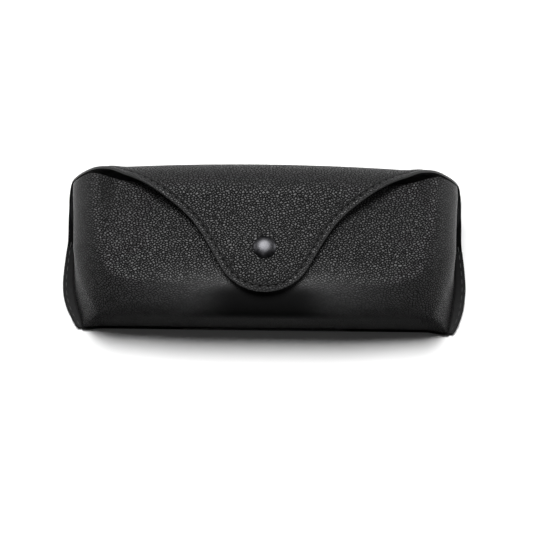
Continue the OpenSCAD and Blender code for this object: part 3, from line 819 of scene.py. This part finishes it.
stitch_edge = cut_edge + inward(cut_edge) * STITCH_IN
sunk = np.full(len(stitch_edge), STITCH_SUNK)
right_line = sheet_points(stitch_edge[:, 0], stitch_edge[:, 1], sunk)
left_line = sheet_points(stitch_edge[:, 0], -stitch_edge[:, 1], sunk)
flap_line = np.vstack([left_line[split_row - 1:0:-1], right_line[:split_row]])
flap_stitches = sew("flap_edge_stitches", flap_line)
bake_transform(flap_stitches)
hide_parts("flap_thread", "top_thread")
back_rows = (stitch_edge[:, 0] >= stitch_edge[split_row, 0]) & (stitch_edge[:, 0] < RUN_BACK + 4)
for side_name, line in (("left", left_line), ("right", right_line)):
    back_stitches = sew(side_name + "_back_edge_stitches", line[back_rows])
    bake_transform(back_stitches)
FLANGE_STITCH_IN, FLANGE_STITCH_Z = 1.5, 1.92
FLANGE_STITCH_LOW, FLANGE_STITCH_HIGH = -29, 4
flange_line = np.column_stack([flange_edge[:, 0] - FLANGE_STITCH_IN, flange_edge[:, 1],
                               np.full(len(flange_edge), FLANGE_STITCH_Z)])
sewn = (flange_line[:, 1] < FLANGE_STITCH_HIGH) & (flange_line[:, 1] > FLANGE_STITCH_LOW)
flange_line = flange_line[sewn]
right_seam = sew("right_flange_stitches", settle(flange_line))
left_seam = sew("left_flange_stitches", settle(flange_line * (-1, 1, 1)))
for seam, node in ((right_seam, "right_seam_thread"), (left_seam, "left_seam_thread")):
    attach(seam, "pocket")
    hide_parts(node)
mouth_row = patch[2, 6:-6] * 0.5 + patch[3, 6:-6] * 0.5
mouth_seam = sew("mouth_stitches", mouth_row + (0, 0, 0.05))
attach(mouth_seam, "pocket")
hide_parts("mouth_thread")


# ---------------------------------------------------------------- snap fastener
# A spun metal cap, gunmetal plated, is riveted through the flap to the socket. The stud and
# its rivet sit in the pocket front; the split ring in the socket grips the stud.
def plated_metal(name, dark, light, rough):
    material, tree, shader = node_tree(name)
    place = put(tree, "ShaderNodeTexCoord").outputs["Object"]
    cloud = clouds(tree, place, 500, 4)["Fac"]
    scratch = clouds(tree, place, 3000)["Fac"]
    dye(tree, shader, spread(tree, cloud, 0.3, 0.7), dark, light)
    tree.links.new(spread(tree, cloud, 0.3, 0.7, rough - 0.04, rough + 0.06), shader.inputs["Roughness"])
    emboss(tree, shader, scratch, 0.000006)
    shader.inputs["Metallic"].default_value = 1.0
    return material


GUNMETAL = plated_metal("gunmetal_plate", (0.035, 0.035, 0.038), (0.06, 0.06, 0.064), 0.37)
SPRING_BRASS = plated_metal("spring_brass", (0.42, 0.30, 0.13), (0.60, 0.44, 0.20), 0.3)
cap_low, cap_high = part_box("snap_cap")
CAP_R = (cap_high.x - cap_low.x) / 2 / MM
CAP_Y = (cap_low.y + cap_high.y) / 2 / MM
CAP_TOP = cap_high.z / MM
# the cap's outline, as (in from its rim, up from the flap)
CAP_OUTLINE = ((1.0, -0.5), (0.25, -0.35), (0, -0.1), (0, 0.2), (0.12, 0.42),
               (0.4, 0.62), (1.1, 0.98), (2.1, 1.28), (3.2, 1.44))
CAP_TURNS = 96
outline = [[CAP_R - set_in, FLAP_TOP + up] for set_in, up in CAP_OUTLINE] + [[0.0001, CAP_TOP]]
outline = flowing(outline, 5)
angles = np.linspace(0, 2 * math.pi, CAP_TURNS, endpoint=False)
cap_points = np.array([[r * math.cos(a), CAP_Y + r * math.sin(a), z] for r, z in outline for a in angles])
cap_rings = np.arange(len(cap_points)).reshape(-1, CAP_TURNS).tolist()
cap_faces = [face for a, b in zip(cap_rings, cap_rings[1:]) for face in ring_faces(a, b)]
cap_faces.append(cap_rings[0][::-1])
snap_cap = mesh_piece("snap_cap_dome", cap_points, cap_faces, [GUNMETAL])
tidy_mesh(snap_cap, 2e-7)
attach(snap_cap, "tongue")
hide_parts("snap_cap")
for node, metal in (("snap_stud", GUNMETAL), ("snap_post", GUNMETAL),
                    ("snap_socket", GUNMETAL), ("snap_spring", SPRING_BRASS)):
    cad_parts[node].data.materials.clear()
    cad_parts[node].data.materials.append(metal)


# ---------------------------------------------------------------- table, light and camera
# The case lies on a plain white table under one large soft light from above and behind, with
# a weaker one at each side. The table before the case stays out of the leather's gloss.
TABLE_HALF = 3
TABLE_FRONT = -0.033
CASE_MIDDLE = (0, 0, 0.02)


def table_part(name, low_y, high_y, mirrored):
    mesh = bpy.data.meshes.new(name)
    corners = [(-TABLE_HALF, low_y, 0), (TABLE_HALF, low_y, 0),
               (TABLE_HALF, high_y, 0), (-TABLE_HALF, high_y, 0)]
    mesh.from_pydata(corners, [], [(0, 1, 2, 3)])
    part = bpy.data.objects.new(name, mesh)
    bpy.context.scene.collection.objects.link(part)
    part.visible_glossy = mirrored
    mesh.materials.append(WHITE_TABLE)


WHITE_TABLE, _, table_shader = node_tree("white_table")
table_shader.inputs["Base Color"].default_value = (0.92, 0.92, 0.92, 1)
table_shader.inputs["Roughness"].default_value = 0.8
table_shader.inputs["Specular IOR Level"].default_value = 0.0
table_part("table_behind", TABLE_FRONT, TABLE_HALF, True)
table_part("table_before", -TABLE_HALF, TABLE_FRONT, False)


def soft_light(name, place, size, power):
    data = bpy.data.lights.new(name, "AREA")
    data.shape = "RECTANGLE"
    data.size, data.size_y = size
    data.energy = power
    lamp = bpy.data.objects.new(name, data)
    lamp.location = place
    lamp.rotation_euler = (Vector(CASE_MIDDLE) - Vector(place)).to_track_quat("-Z", "Y").to_euler()
    bpy.context.scene.collection.objects.link(lamp)


soft_light("overhead_softbox", (-0.08, 0.41, 1.23), (0.6, 0.5), 23)
soft_light("left_softbox", (-1.1, 0.35, 0.6), (0.4, 0.4), 3)
soft_light("right_softbox", (1.1, 0.35, 0.6), (0.4, 0.4), 4.5)
world = bpy.data.worlds.new("studio")
world.use_nodes = True
world.node_tree.nodes["Background"].inputs["Color"].default_value = (1, 1, 1, 1)
world.node_tree.nodes["Background"].inputs["Strength"].default_value = 0.05
bpy.context.scene.world = world
bpy.context.scene.view_settings.view_transform = "Standard"

CAMERA_LIFT = math.radians(77.5)
CAMERA_ROLL = 0.0123
CAMERA_REACH = 0.9
back = Vector((0, -math.cos(CAMERA_LIFT), math.sin(CAMERA_LIFT)))
side = Vector((1, 0, 0))
up = Vector((0, math.sin(CAMERA_LIFT), math.cos(CAMERA_LIFT)))
rolled_side = side * math.cos(CAMERA_ROLL) + up * math.sin(CAMERA_ROLL)
rolled_up = up * math.cos(CAMERA_ROLL) - side * math.sin(CAMERA_ROLL)
place = Vector(CASE_MIDDLE) + back * CAMERA_REACH
camera_data = bpy.data.cameras.new("camera")
camera_data.sensor_width = 36
camera_data.lens = 147.3
camera_data.shift_x = 0.0034
camera_data.shift_y = -0.0362
camera = bpy.data.objects.new("camera", camera_data)
camera.matrix_world = Matrix([
    (rolled_side.x, rolled_up.x, back.x, place.x),
    (rolled_side.y, rolled_up.y, back.y, place.y),
    (rolled_side.z, rolled_up.z, back.z, place.z),
    (0, 0, 0, 1)])
bpy.context.scene.collection.objects.link(camera)
bpy.context.scene.camera = camera
